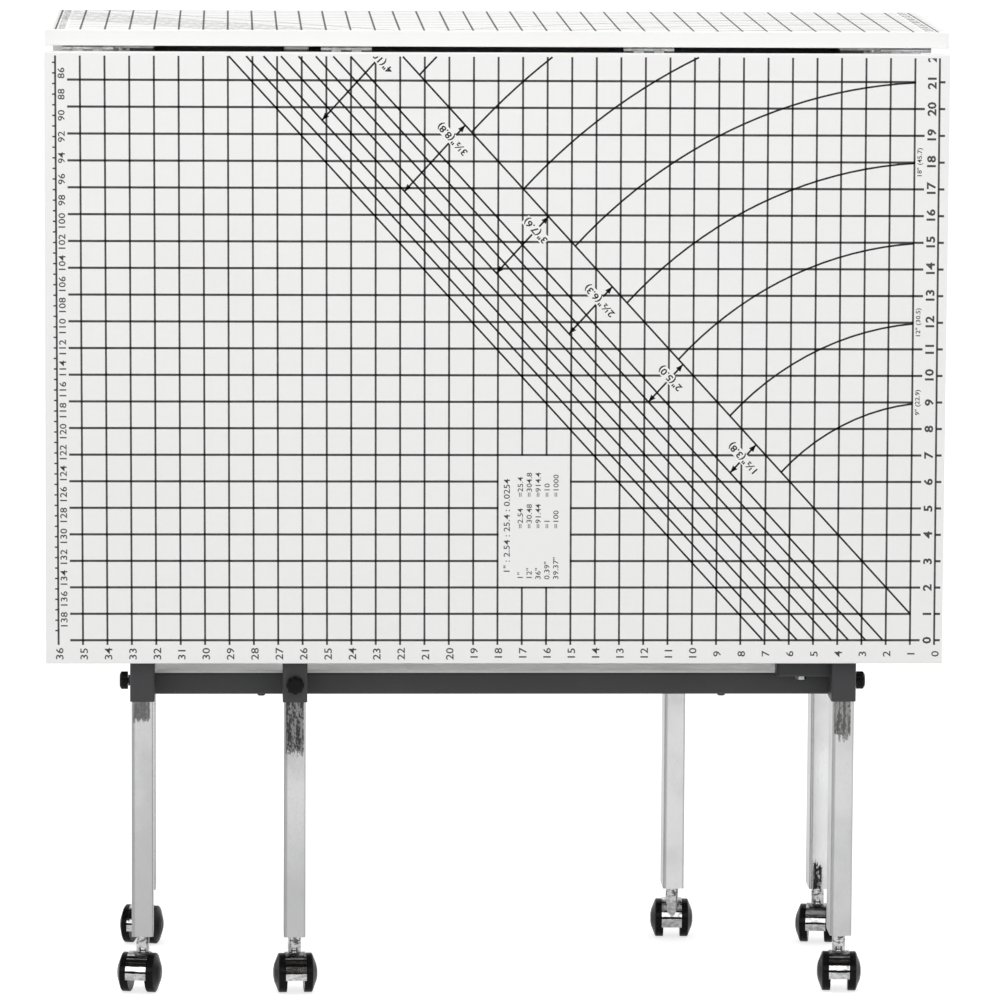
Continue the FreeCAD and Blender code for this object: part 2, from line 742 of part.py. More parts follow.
# Boards and hinges
leaf_plates = [moving_plate(x) for x in hinge_centres]
leaf_screws = [screw for x in hinge_centres for screw in moving_screws(x)]
save("centre_top", [centre_board()])
save("front_leaf", [front_leaf_board()])
save("rear_leaf", [half_turn(front_leaf_board())])
save("front_leaf_hinge_plates", leaf_plates)
save("rear_leaf_hinge_plates", [half_turn(plate) for plate in leaf_plates])
save("front_leaf_hinge_screws", leaf_screws)
save("rear_leaf_hinge_screws", [half_turn(screw) for screw in leaf_screws])
save("centre_hinge_plates", both_sides([fixed_plate(x) for x in hinge_centres]))
save("centre_hinge_screws", both_sides([screw for x in hinge_centres for screw in fixed_screws(x)]))
save("hinge_pins", both_sides([hinge_pin(x) for x in hinge_centres]))

# Frame
for corner, side, front in (("front_left", -1, -1), ("front_right", 1, -1),
                            ("rear_left", -1, 1), ("rear_right", 1, 1)):
    station_x = side * upright_x
    station_y = front * upright_y
    knob_face = (side * frame_outer_x, station_y, knob_z)
    knob_direction = X_AXIS * side
    save(corner + "_upright", [upright(station_x, station_y, upright_top, knob_face, knob_direction)])
    save_leg_station(corner, station_x, station_y, knob_face, knob_direction)
save("mounting_plates", [mounting_plate(side, front) for side in (-1, 1) for front in (-1, 1)])
save("front_top_rail", [front_top_rail()])
save("rear_top_rail", [half_turn(front_top_rail())])
save("front_lower_rail", [front_lower_rail()])
save("rear_lower_rail", [half_turn(front_lower_rail())])
save("side_rails", both_sides(right_side_rails()))
save("shelf_panel", [shelf_panel()])
save("shelf_bolts", both_sides(shelf_bolts()))
save("frame_screws", both_sides(frame_screws()))

# Gates and their pivots
save("pivot_brackets", both_sides([pivot_bracket(lower_rail_top), pivot_bracket(high_bracket_bottom)]))
save("bracket_end_caps", both_sides([bracket_cap(lower_rail_top), bracket_cap(high_bracket_bottom)]))
save("pivot_bolts", both_sides([pivot_bolt(lower_rail_top, 1), pivot_bolt(top_rail_bottom, -1)]))
gate_face = (-gate_upright_x, -gate_upright_y - upright_depth / 2, knob_z)
gate_direction = Y_AXIS * -1
gate_upright = upright(-gate_upright_x, -gate_upright_y, gate_upright_top, gate_face, gate_direction)
gate_pieces = {"post": [gate_post()],
               "bushes": [gate_bush(gate_post_bottom, 1), gate_bush(gate_post_top, -1)],
               "rails": [gate_rail(gate_post_bottom), gate_rail(gate_post_top - rail_size)],
               "upright": [gate_upright],
               "pad": [gate_pad()]}
for piece, shapes in gate_pieces.items():
    save("front_gate_" + piece, shapes)
    save("rear_gate_" + piece, [half_turn(shape) for shape in shapes])
save_leg_station("front_gate", -gate_upright_x, -gate_upright_y, gate_face, gate_direction)
rear_face = (gate_upright_x, gate_upright_y + upright_depth / 2, knob_z)
save_leg_station("rear_gate", gate_upright_x, gate_upright_y, rear_face, Y_AXIS)
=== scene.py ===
import bmesh
import bpy
import math
from mathutils import Matrix, Vector


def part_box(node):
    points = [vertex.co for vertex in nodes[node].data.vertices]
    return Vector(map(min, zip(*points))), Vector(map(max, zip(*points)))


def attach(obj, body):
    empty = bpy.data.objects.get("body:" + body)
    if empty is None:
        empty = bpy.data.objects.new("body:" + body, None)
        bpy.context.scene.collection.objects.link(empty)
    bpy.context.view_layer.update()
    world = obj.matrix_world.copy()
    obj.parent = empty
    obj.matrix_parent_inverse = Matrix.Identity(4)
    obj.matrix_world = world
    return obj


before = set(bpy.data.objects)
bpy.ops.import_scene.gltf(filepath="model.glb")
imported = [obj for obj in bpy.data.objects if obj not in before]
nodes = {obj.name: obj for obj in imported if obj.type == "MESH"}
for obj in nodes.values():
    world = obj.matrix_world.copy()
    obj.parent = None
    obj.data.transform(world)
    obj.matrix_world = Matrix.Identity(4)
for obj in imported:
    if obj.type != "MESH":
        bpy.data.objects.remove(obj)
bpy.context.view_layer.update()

# Boards
# Three sheets of chipboard faced with white melamine, with a thin band round the edges.
# The centre board lies on the frame and the two leaves hang from it on butt hinges.
MM = 0.001
MELAMINE_WHITE = (0.84, 0.838, 0.83, 1)
MELAMINE_SOILED = (0.76, 0.755, 0.735, 1)


class Signal:
    """A number or colour on its way through a shader tree, so that shader sums read as sums."""

    def __init__(self, shading, socket):
        self.shading = shading
        self.socket = socket

    def maths(self, operation, first, second):
        """Two signals, or a signal and a plain number, put together by one operation."""
        return self.shading.node("ShaderNodeMath", {"operation": operation}, {0: first, 1: second})

    def __add__(self, other):
        return self.maths("ADD", self, other)

    def __radd__(self, other):
        return self.maths("ADD", other, self)

    def __sub__(self, other):
        return self.maths("SUBTRACT", self, other)

    def __rsub__(self, other):
        return self.maths("SUBTRACT", other, self)

    def __mul__(self, other):
        return self.maths("MULTIPLY", self, other)

    def __rmul__(self, other):
        return self.maths("MULTIPLY", other, self)

    def step(self, low, high, start=0.0, end=1.0):
        """Goes smoothly from start to end while this value goes from low to high."""
        return self.shading.node("ShaderNodeMapRange", {"interpolation_type": "SMOOTHSTEP"},
                                 {"Value": self, "From Min": low, "From Max": high,
                                  "To Min": start, "To Max": end})

    def band(self, low, high, soft):
        """1 while this value lies between low and high, fading to 0 over a soft margin outside."""
        return self.step(low - soft, low + soft) * self.step(high - soft, high + soft, 1.0, 0.0)


class Shading:
    """The shader tree of a material or of the world."""

    def __init__(self, owner):
        owner.use_nodes = True
        self.tree = owner.node_tree

    def node(self, kind, settings, inputs, output=0):
        """Any node: its type, its settings, then the values or links of its sockets."""
        made = self.tree.nodes.new(kind)
        for name, value in settings.items():
            setattr(made, name, value)
        for name, value in inputs.items():
            self.feed(made.inputs[name], value)
        return Signal(self, made.outputs[output])

    def feed(self, socket, value):
        """Links a signal to a socket, or sets the socket to a plain value."""
        if isinstance(value, Signal):
            self.tree.links.new(value.socket, socket)
        else:
            socket.default_value = value


class Finish(Shading):
    """One procedural material, built on a Principled shader whose constant values are given by name."""

    def __init__(self, name, **surface):
        self.material = bpy.data.materials.new(name)
        super().__init__(self.material)
        self.shader = self.tree.nodes["Principled BSDF"]
        self.where = None
        self.paint(**surface)

    def paint(self, **surface):
        """Sets shader sockets; Base_Color stands for Base Color."""
        for name, value in surface.items():
            self.feed(self.shader.inputs[name.replace("_", " ")], value)

    def place(self, *stretch):
        """Object coordinates, stretched by a factor for each axis."""
        if self.where is None:
            self.where = self.node("ShaderNodeTexCoord", {}, {}, "Object")
        if not stretch:
            return self.where
        return self.node("ShaderNodeMapping", {}, {"Vector": self.where, "Scale": stretch})

    def axis(self, name):
        """One object coordinate as a number, in metres."""
        return self.node("ShaderNodeSeparateXYZ", {}, {0: self.place()}, name)

    def noise(self, scale, detail=3.0, stretch=(1, 1, 1)):
        """Cloudy variation from about 0 to 1, with about that many clouds to the metre."""
        return self.node("ShaderNodeTexNoise", {},
                         {"Vector": self.place(*stretch), "Scale": scale, "Detail": detail})

    def mix(self, share, first, second):
        """A colour between two others."""
        return self.node("ShaderNodeMix", {"data_type": "RGBA"}, {0: share, 6: first, 7: second}, 2)

    def bump(self, height, strength, depth):
        """Small relief from a height between 0 and 1, in metres of depth."""
        self.paint(Normal=self.node("ShaderNodeBump", {},
                                    {"Height": height, "Strength": strength, "Distance": depth}))


def dress(finish, *names):
    """Gives CAD nodes a material."""
    for name in names:
        slots = nodes[name].data.materials
        slots.clear()
        slots.append(finish.material)


melamine = Finish("white_melamine", Specular_IOR_Level=0.45)
cloud = melamine.noise(5.0, 4.0)
speck = melamine.noise(240.0, 2.0)
handling = (cloud.step(0.45, 0.75) * 0.25 + speck.step(0.62, 0.78) * 0.12).step(0.0, 1.0)
melamine.paint(Base_Color=melamine.mix(handling, MELAMINE_WHITE, MELAMINE_SOILED),
               Roughness=cloud.step(0.2, 0.8, 0.34, 0.46) + speck.step(0.3, 0.7, 0.0, 0.05))
melamine.bump(melamine.noise(700.0, 2.0) + cloud * 0.4, strength=0.25, depth=0.06 * MM)
dress(melamine, "centre_top", "front_leaf", "rear_leaf")

# Printed measuring grid
# Grey and black ink lines over all three boards as one sheet, with inch figures, a centimetre
# scale, bias lines and rounds. They are screen printed, so the ink stands a hair proud.
INK_RISE = 0.03 * MM
PATCH_RISE = 0.05 * MM
FIGURE_RISE = 0.07 * MM
INK_SINK = 0.05 * MM
INCH_ACROSS = 24.634 * MM
INCH_ALONG = 26.978 * MM
CENTIMETRE_ALONG = 10.629 * MM
INCHES_ACROSS = 36
ZERO_FROM_RIGHT = 10.44 * MM
ZERO_FROM_EDGE = 23.9 * MM
PRINT_MARGIN = 3.5 * MM
PRINT_LEAN = 2.3 * MM
BOARD_JOINT = 1.0 * MM
TICK = 4.8 * MM
SIDE_TICK = 5.8 * MM
GRID_LINE = 2.0 * MM
ROW_LINE = 2.3 * MM
ROW_START = 22.5 * MM
ROW_END_GAP = 14.7 * MM

# The centimetre scale counts down along the sheet, from its last mark to nought. One mark's place is given.
SCALE_MARK = 86
SCALE_MARK_PLACE = 597.05 * MM
SCALE_LAST = 139
SCALE_TICK = 3.2 * MM
SCALE_LINE = 1.5 * MM

# Bias lines cross the printed squares from corner to corner, their distances counted in half inches.
# The rounds, with radii in inches, run from the bias line through nought to the last column.
GUIDE_LINE = 1.9 * MM
BIAS_HALF_INCHES = (0, *range(3, 11))
ROUND_RADII = range(9, 33, 3)
ROUND_CHORDS_PER_INCH = 1.5
ARROW_LENGTH = 7.5 * MM
ARROW_HALF_WIDTH = 3.0 * MM

# Figures: their cap heights, how much bolder than the font they are as a share of that height, and
# their places beside the lines that they belong to.
CAP_HEIGHT_SHARE = 0.72
FIGURE_STRETCH = 1.18
FIGURE_HEIGHT = 7.8 * MM
FIGURE_WEIGHT = 0.012
FIGURE_DROP = 13.9 * MM
FIGURE_SHIFT = 1.5 * MM
SIDE_FIGURE_HEIGHT = 8.6 * MM
SIDE_FIGURE_WEIGHT = 0.04
SIDE_FIGURE_INSET = 7.0 * MM
SCALE_FIGURE_HEIGHT = 7.0 * MM
SCALE_FIGURE_INSET = 6.2 * MM
LABEL_HEIGHT = 7.0 * MM
LABEL_WEIGHT = 0.03
LABEL_STRIP = 10.6 * MM
LABEL_PADDING = 1.5 * MM
LABEL_INCHES_LEFT = 0.525
LABEL_INCHES_DOWN = 0.52
ROUND_LABEL_HEIGHT = 4.6 * MM
ROUND_LABEL_INCHES_LEFT = 0.78
BARE_ROW_ENDS = (1, 9, 12, 18, 21)

# The bare box with a small table of numbers: two corners in inches, the rest from its low corner.
TABLE_LOW = (18, 2)
TABLE_HIGH = (15, 7)
TABLE_HEIGHT = 5.5 * MM
TABLE_HEADING_HEIGHT = 1.15 * TABLE_HEIGHT
TABLE_HEADING_PLACE = (9.6 * MM, 14.0 * MM)
TABLE_COLUMNS = (8.0 * MM, 60.0 * MM, 92.0 * MM)
TABLE_FIRST_ROW = 23.2 * MM
TABLE_ROW_STEP = 9.0 * MM

INK_GREY = (0.058, 0.055, 0.055, 1)
INK_GREY_WORN = (0.085, 0.081, 0.08, 1)
INK_BLACK = (0.022, 0.021, 0.022, 1)
INK_BLACK_WORN = (0.045, 0.043, 0.044, 1)

leaf_low, leaf_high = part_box("front_leaf")
centre_low, centre_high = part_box("centre_top")
rear_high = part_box("rear_leaf")[1]
leaf_length = leaf_high.z - leaf_low.z
centre_start = leaf_length + BOARD_JOINT
centre_end = centre_start + centre_high.y - centre_low.y
rear_start = centre_end + BOARD_JOINT
right_zero = leaf_high.x - ZERO_FROM_RIGHT
left_line = right_zero - INCHES_ACROSS * INCH_ACROSS


def printing_ink(name, fresh, faded):
    """Flat ink that is a little worn here and there."""
    made = Finish(name, Specular_IOR_Level=0.3)
    worn = made.noise(90.0, 4.0).step(0.35, 0.8)
    made.paint(Base_Color=made.mix(worn, fresh, faded), Roughness=worn * 0.15 + 0.45)
    return made


grid_ink = printing_ink("grey_printing_ink", INK_GREY, INK_GREY_WORN)
guide_ink = printing_ink("black_printing_ink", INK_BLACK, INK_BLACK_WORN)


def sheet_point(inches_left, inches_up):
    """The place on the sheet of a point counted in printed inches from the zero corner."""
    return right_zero - inches_left * INCH_ACROSS, ZERO_FROM_EDGE + inches_up * INCH_ALONG


def node_tree(name, sockets):
    """An empty geometry tree with its named inputs, and a function that adds and links its nodes."""
    tree = bpy.data.node_groups.new(name, "GeometryNodeTree")
    for label, kind in sockets:
        tree.interface.new_socket(label, in_out="INPUT", socket_type=kind)
    tree.interface.new_socket("Geometry", in_out="OUTPUT", socket_type="NodeSocketGeometry")
    entry = tree.nodes.new("NodeGroupInput")

    def add(kind, settings, inputs, output=0):
        made = tree.nodes.new(kind)
        for label, value in settings.items():
            setattr(made, label, value)
        for label, value in inputs.items():
            if isinstance(value, bpy.types.NodeSocket):
                tree.links.new(value, made.inputs[label])
            else:
                made.inputs[label].default_value = value
        return made.outputs[output] if made.outputs else None

    return tree, entry.outputs, add


def grown(tree, values, start=None):
    """The plain mesh that a geometry tree makes with the given values, from an optional start mesh."""
    holder = bpy.data.objects.new("holder", start or bpy.data.meshes.new("holder"))
    bpy.context.scene.collection.objects.link(holder)
    modifier = holder.modifiers.new("tree", "NODES")
    modifier.node_group = tree
    for item in tree.interface.items_tree:
        if item.in_out == "INPUT" and item.name in values:
            modifier[item.identifier] = values[item.name]
    evaluated = holder.evaluated_get(bpy.context.evaluated_depsgraph_get())
    mesh = bpy.data.meshes.new_from_object(evaluated)
    holder.modifiers.clear()
    bpy.data.objects.remove(holder)
    return mesh


ruling, ruling_in, add = node_tree("ruling", [
    ("Geometry", "NodeSocketGeometry"), ("Count", "NodeSocketInt"), ("Start", "NodeSocketVector"),
    ("Step", "NodeSocketVector"), ("Bar", "NodeSocketVector"), ("Ink", "NodeSocketMaterial")])
row = add("GeometryNodeMeshLine", {"mode": "OFFSET"},
          {"Count": ruling_in["Count"], "Start Location": ruling_in["Start"], "Offset": ruling_in["Step"]})
bar = add("GeometryNodeMeshCube", {}, {"Size": ruling_in["Bar"]})
bars = add("GeometryNodeInstanceOnPoints", {}, {"Points": row, "Instance": bar})
solid = add("GeometryNodeRealizeInstances", {}, {"Geometry": bars})
inked = add("GeometryNodeSetMaterial", {}, {"Geometry": solid, "Material": ruling_in["Ink"]})
add("NodeGroupOutput", {}, {"Geometry": inked})

pen, pen_in, add = node_tree("pen", [
    ("Path", "NodeSocketGeometry"), ("Width", "NodeSocketFloat"),
    ("Thickness", "NodeSocketFloat"), ("Ink", "NodeSocketMaterial")])
path = add("GeometryNodeMeshToCurve", {}, {"Mesh": pen_in["Path"]})
level = add("GeometryNodeSetCurveNormal", {"mode": "Z_UP"}, {"Curve": path})
nib = add("GeometryNodeCurvePrimitiveQuadrilateral", {},
          {"Width": pen_in["Width"], "Height": pen_in["Thickness"]})
line = add("GeometryNodeCurveToMesh", {}, {"Curve": level, "Profile Curve": nib, "Fill Caps": True})
solid = add("GeometryNodeRealizeInstances", {}, {"Geometry": line})
inked = add("GeometryNodeSetMaterial", {}, {"Geometry": solid, "Material": pen_in["Ink"]})
add("NodeGroupOutput", {}, {"Geometry": inked})


def ruled(count, start, step, bar, rise=INK_RISE, ink=grid_ink):
    """Equal bars at equal steps: start and step are places on the sheet, bar a width and a length."""
    middle = (rise - INK_SINK) / 2
    return grown(ruling, {"Count": count, "Start": (*start, middle), "Step": (*step, 0.0),
                          "Bar": (*bar, rise + INK_SINK), "Ink": ink.material})


def drawn(paths, width=GUIDE_LINE, ink=guide_ink):
    """Lines of the pen along paths of sheet points."""
    mesh = bpy.data.meshes.new("paths")
    points, edges = [], []
    for stretch in paths:
        edges += [(len(points) + i, len(points) + i + 1) for i in range(len(stretch) - 1)]
        points += [(x, s, (INK_RISE - INK_SINK) / 2) for x, s in stretch]
    mesh.from_pydata(points, edges, [])
    return grown(pen, {"Width": width, "Thickness": INK_RISE + INK_SINK, "Ink": ink.material}, mesh)


def figure(text, height, centre, turn=90.0, ink=grid_ink, align="CENTER", weight=FIGURE_WEIGHT):
    """A plain figure, turned by degrees about its middle or about its start."""
    curve = bpy.data.curves.new("figure", "FONT")
    curve.body = text
    curve.size = height / CAP_HEIGHT_SHARE
    curve.align_x = align
    curve.align_y = "CENTER"
    curve.resolution_u = 2
    curve.extrude = (FIGURE_RISE + INK_SINK) / 2
    curve.offset = height * weight
    holder = bpy.data.objects.new("figure", curve)
    bpy.context.scene.collection.objects.link(holder)
    mesh = bpy.data.meshes.new_from_object(holder.evaluated_get(bpy.context.evaluated_depsgraph_get()))
    bpy.data.objects.remove(holder)
    lift = Matrix.Translation((*centre, (FIGURE_RISE - INK_SINK) / 2))
    wide = Matrix.Diagonal((FIGURE_STRETCH, 1, 1, 1))
    mesh.transform(lift @ Matrix.Rotation(math.radians(turn), 4, "Z") @ wide)
    mesh.materials.clear()
    mesh.materials.append(ink.material)
    return mesh


def joined(name, meshes, place):
    """One object from several meshes, its materials merged by name, moved to its place."""
    work = bmesh.new()
    materials = []
    for mesh in meshes:
        for material in mesh.materials:
            if material not in materials:
                materials.append(material)
        slots = [materials.index(material) for material in mesh.materials]
        first = len(work.faces)
        work.from_mesh(mesh)
        work.faces.ensure_lookup_table()
        for face in work.faces[first:]:
            face.material_index = slots[face.material_index]
        bpy.data.meshes.remove(mesh)
    whole = bpy.data.meshes.new(name)
    work.to_mesh(whole)
    work.free()
    for material in materials:
        whole.materials.append(material)
    whole.transform(place)
    made = bpy.data.objects.new(name, whole)
    bpy.context.scene.collection.objects.link(made)
    return made


def trimmed(mesh, low, high):
    """A mesh cut off where it runs past the printed part of a board."""
    work = bmesh.new()
    work.from_mesh(mesh)
    for place, side in ((low, -1), (high, 1)):
        everything = [*work.verts, *work.edges, *work.faces]
        cut = bmesh.ops.bisect_plane(work, geom=everything, plane_co=(0, place, 0),
                                     plane_no=(0, side, 0), clear_outer=True)["geom_cut"]
        bmesh.ops.holes_fill(work, edges=[part for part in cut if isinstance(part, bmesh.types.BMEdge)])
    work.to_mesh(mesh)
    work.free()
    return mesh


def scale_place(number):
    """Where a mark of the centimetre scale lies along the sheet."""
    return SCALE_MARK_PLACE + (SCALE_MARK - number) * CENTIMETRE_ALONG


def centimetre_scale(low, high):
    """The centimetre scale down the left side, with a figure at every second mark."""
    least = max(0, math.ceil(SCALE_MARK - (high - SCALE_MARK_PLACE) / CENTIMETRE_ALONG))
    most = min(SCALE_LAST, math.floor(SCALE_MARK - (low - SCALE_MARK_PLACE) / CENTIMETRE_ALONG))
    meshes = [ruled(most - least + 1, (left_line - SCALE_TICK / 2, scale_place(most)),
                    (0, CENTIMETRE_ALONG), (SCALE_TICK, SCALE_LINE))]
    for number in range(least + least % 2, most + 1, 2):
        place = (left_line + SCALE_FIGURE_INSET, scale_place(number))
        meshes.append(figure(str(number), SCALE_FIGURE_HEIGHT, place))
    return meshes


def ruled_grid(start, end):
    """The square grid, its ticks and its two scales between two places along the sheet."""
    first_row = max(0, math.ceil((start + PRINT_MARGIN - ZERO_FROM_EDGE) / INCH_ALONG))
    last_row = math.floor((end - PRINT_MARGIN - ZERO_FROM_EDGE) / INCH_ALONG)
    low = max(start + PRINT_MARGIN, ZERO_FROM_EDGE - TICK)
    high = end - PRINT_MARGIN
    rows = last_row - first_row + 1
    row_place = ZERO_FROM_EDGE + first_row * INCH_ALONG
    row_low = leaf_low.x + ROW_START
    row_high = right_zero - ROW_END_GAP
    columns = ruled(INCHES_ACROSS + 1, (left_line, (low + high) / 2), (INCH_ACROSS, 0),
                    (GRID_LINE, high - low))
    lines = ruled(rows, ((row_low + row_high) / 2, row_place), (0, INCH_ALONG),
                  (row_high - row_low, ROW_LINE))
    ticks = ruled(rows, (right_zero + SIDE_TICK / 2, row_place), (0, INCH_ALONG), (SIDE_TICK, ROW_LINE))
    meshes = [columns, lines, ticks]
    for number in range(max(0, first_row - 1), last_row + 2):
        place = (right_zero - SIDE_FIGURE_INSET, ZERO_FROM_EDGE + number * INCH_ALONG)
        heavy = figure(str(number), SIDE_FIGURE_HEIGHT, place, weight=SIDE_FIGURE_WEIGHT)
        meshes.append(trimmed(heavy, start + PRINT_MARGIN, high))
    return meshes + centimetre_scale(low, high)


def guides(start, end):
    """Bias lines and rounds between two places along the sheet."""
    low = (start + PRINT_MARGIN - ZERO_FROM_EDGE) / INCH_ALONG
    high = (end - PRINT_MARGIN - ZERO_FROM_EDGE) / INCH_ALONG
    paths = []
    for half_inches in BIAS_HALF_INCHES:
        shift = half_inches / 2 * math.sqrt(2)
        bottom = max(low, 0.0 if half_inches else 1.0)
        top = min(high, INCHES_ACROSS - shift)
        if bottom < top:
            paths.append([sheet_point(bottom + shift, bottom), sheet_point(top + shift, top)])
    for radius in ROUND_RADII:
        begin = max(math.radians(45), math.asin(min(1, max(0, low / radius))))
        finish = min(math.acos(1 / radius), math.asin(min(1, high / radius)))
        steps = max(2, math.ceil((finish - begin) * radius * ROUND_CHORDS_PER_INCH))
        if begin < finish:
            turns = [begin + (finish - begin) * i / steps for i in range(steps + 1)]
            paths.append([sheet_point(radius * math.cos(turn), radius * math.sin(turn)) for turn in turns])
    return [drawn(paths)]


def arrow_head(tip, towards):
    """A filled arrow head lying on the sheet."""
    tip, towards = Vector(tip), Vector(towards)
    along = (tip - towards).normalized()
    side = Vector((-along.y, along.x)) * ARROW_HALF_WIDTH
    base = tip - along * ARROW_LENGTH
    corners = [tip, base + side, base - side]
    points = [(*corner, height) for height in (-INK_SINK, INK_RISE) for corner in corners]
    mesh = bpy.data.meshes.new("head")
    mesh.from_pydata(points, [], [(2, 1, 0), (3, 4, 5), (0, 1, 4, 3), (1, 2, 5, 4), (2, 0, 3, 5)])
    mesh.materials.append(guide_ink.material)
    return mesh


def patch(centre, size, turn):
    """A bare white rectangle that interrupts the lines behind a figure."""
    mesh = ruled(1, (0, 0), (0, 0), size, PATCH_RISE, melamine)
    mesh.transform(Matrix.Translation((*centre, 0)) @ Matrix.Rotation(math.radians(turn), 4, "Z"))
    return mesh


def label(text, centre, turn):
    """A line of figures on a bare white strip, which interrupts the lines behind it."""
    words = figure(text, LABEL_HEIGHT, (0, 0), 0.0, guide_ink, weight=LABEL_WEIGHT)
    reach = max(point.co.x for point in words.vertices)
    strip = patch((0, 0), (2 * reach + LABEL_PADDING, LABEL_STRIP), 0.0)
    place = Matrix.Translation((*centre, 0)) @ Matrix.Rotation(math.radians(turn), 4, "Z")
    for mesh in (strip, words):
        mesh.transform(place)
    return [strip, words]


def strip_arrows():
    """Double arrows across the bias strips, each with its width in inches and in centimetres."""
    meshes = []
    slope = math.degrees(math.atan2(INCH_ALONG, -INCH_ACROSS))
    top = (leaf_length - PRINT_MARGIN - ZERO_FROM_EDGE) / INCH_ALONG
    # Each strip's width in half inches, its arrow's place in inches along the strip, and its label.
    arrows = ((3, 7.4, '1½"(3.8)'), (4, 10.42, '2"(5.0)'), (5, 13.33, '2½"(6.3)'),
              (6, 15.95, '3"(7.6)'), (7, 19.35, '3½"(8.8)'), (8, 22.35, '4"(10.2)'))
    for half_inches, place, text in arrows:
        reach = half_inches / 2 / math.sqrt(2)
        cut = max(0.0, place - top)
        near = sheet_point(place + cut, place - cut)
        far = sheet_point(place + reach, place - reach)
        meshes.append(drawn([[near, far]]))
        meshes.append(arrow_head(far, near))
        if not cut:
            meshes.append(arrow_head(near, far))
        middle = sheet_point(place + LABEL_INCHES_LEFT, place - LABEL_INCHES_DOWN)
        for mesh in label(text, middle, slope):
            meshes.append(trimmed(mesh, 0.0, leaf_length - PRINT_MARGIN))
    return meshes


def number_table():
    """A bare box in the grid with inches, centimetres and millimetres in three columns."""
    low, high = Vector(sheet_point(*TABLE_LOW)), Vector(sheet_point(*TABLE_HIGH))
    size = (high.x - low.x - GRID_LINE, high.y - low.y - GRID_LINE)
    meshes = [patch((low + high) / 2, size, 0)]
    meshes.append(figure('1" : 2.54 : 25.4 : 0.0254', TABLE_HEADING_HEIGHT,
                         low + Vector(TABLE_HEADING_PLACE), align="LEFT"))
    rows = (('1"', "=2.54", "=25.4"), ('12"', "=30.48", "=304.8"), ('36"', "=91.44", "=914.4"),
            ('0.39"', "=1", "=10"), ('39.37"', "=100", "=1000"))
    for i, row in enumerate(rows):
        for text, along in zip(row, TABLE_COLUMNS):
            place = (low.x + TABLE_FIRST_ROW + TABLE_ROW_STEP * i, low.y + along)
            meshes.append(figure(text, TABLE_HEIGHT, place, align="LEFT"))
    return meshes


def front_figures():
    """Figures along the bottom edge, in the bare box and by the rounds of the front leaf."""
    meshes = []
    for number in range(INCHES_ACROSS + 1):
        x = right_zero - number * INCH_ACROSS
        meshes.append(figure(str(number), FIGURE_HEIGHT, (x + FIGURE_SHIFT, ZERO_FROM_EDGE - FIGURE_DROP)))
    meshes += number_table()
    for row in BARE_ROW_ENDS:
        last_column, height = sheet_point(1, row)
        start, end = last_column + GRID_LINE / 2, right_zero - ROW_END_GAP + PRINT_MARGIN
        meshes.append(patch(((start + end) / 2, height), (end - start, 2 * ROW_LINE), 0))
    for radius, text in ((9, '9" (22.9)'), (12, '12" (30.5)'), (18, '18" (45.7)')):
        place = sheet_point(ROUND_LABEL_INCHES_LEFT, radius)
        meshes.append(figure(text, ROUND_LABEL_HEIGHT, place, 90.0, guide_ink))
    return meshes


# Where the sheet lies on each board: the body, the stretch of the sheet, and its place and turn.
# The front leaf's print lies a little askew.
print_places = {
    "front_leaf": ("front_leaf_body", 0.0, leaf_length,
                   Matrix(((1, -PRINT_LEAN / leaf_length, 0, PRINT_LEAN),
                           (0, 0, -1, leaf_low.y),
                           (0, 1, 0, leaf_low.z),
                           (0, 0, 0, 1)))),
    "centre_top": ("frame", centre_start, centre_end,
                   Matrix.Translation((0, centre_low.y - centre_start, centre_high.z))),
    "rear_leaf": ("rear_leaf_body", rear_start, rear_start + leaf_length,
                  Matrix(((1, 0, 0, 0),
                          (0, 0, 1, rear_high.y),
                          (0, -1, 0, rear_high.z + rear_start),
                          (0, 0, 0, 1))))}
for board, (body, start, end, place) in print_places.items():
    meshes = ruled_grid(start, end) + guides(start, end)
    if board == "front_leaf":
        meshes += strip_arrows() + front_figures()
    printed = joined(board + "_print", meshes, place)
    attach(printed, body)

# Butt hinges
# Pressed steel leaves with rolled knuckles on a loose pin, zinc plated and screwed to the
# underside of the centre board and the inner faces of the leaves.
ZINC_BRIGHT = (0.62, 0.63, 0.64, 1)
ZINC_DULL = (0.4, 0.405, 0.4, 1)
zinc = Finish("bright_zinc_plate", Metallic=1.0)
spangle = zinc.noise(160.0)
zinc.paint(Base_Color=zinc.mix(spangle.step(0.3, 0.75), ZINC_BRIGHT, ZINC_DULL),
           Roughness=spangle.step(0.2, 0.8, 0.26, 0.42))
zinc.bump(zinc.noise(900.0, 2.0), strength=0.3, depth=0.05 * MM)
dress(zinc, "front_leaf_hinge_plates", "rear_leaf_hinge_plates", "centre_hinge_plates", "hinge_pins",
      "front_leaf_hinge_screws", "rear_leaf_hinge_screws", "centre_hinge_screws")

# Frame
# Rectangular and square steel tube, welded and powder coated in dark grey, with zinc plated
# plates, screws and pivot bolts, and a pale lacquered shelf panel bolted to its lower rails.
POWDER_DARK = (0.041, 0.0415, 0.044, 1)
POWDER_PALE = (0.054, 0.0545, 0.057, 1)
BOLT_DARK = (0.045, 0.0455, 0.048, 1)
LACQUER = (0.88, 0.875, 0.865, 1)
LACQUER_FIBRE = (0.8, 0.795, 0.785, 1)
PEEL_SCALE = 620.0
PEEL_RELIEF = {"strength": 0.35, "depth": 0.12 * MM}
powder = Finish("dark_grey_powder_coat", Specular_IOR_Level=0.45)
peel = powder.noise(PEEL_SCALE, 2.0)
drift = powder.noise(7.0)
powder.paint(Base_Color=powder.mix(drift.step(0.3, 0.75), POWDER_DARK, POWDER_PALE),
             Roughness=drift.step(0.2, 0.8, 0.36, 0.48) + peel.step(0.3, 0.7, 0.0, 0.06))
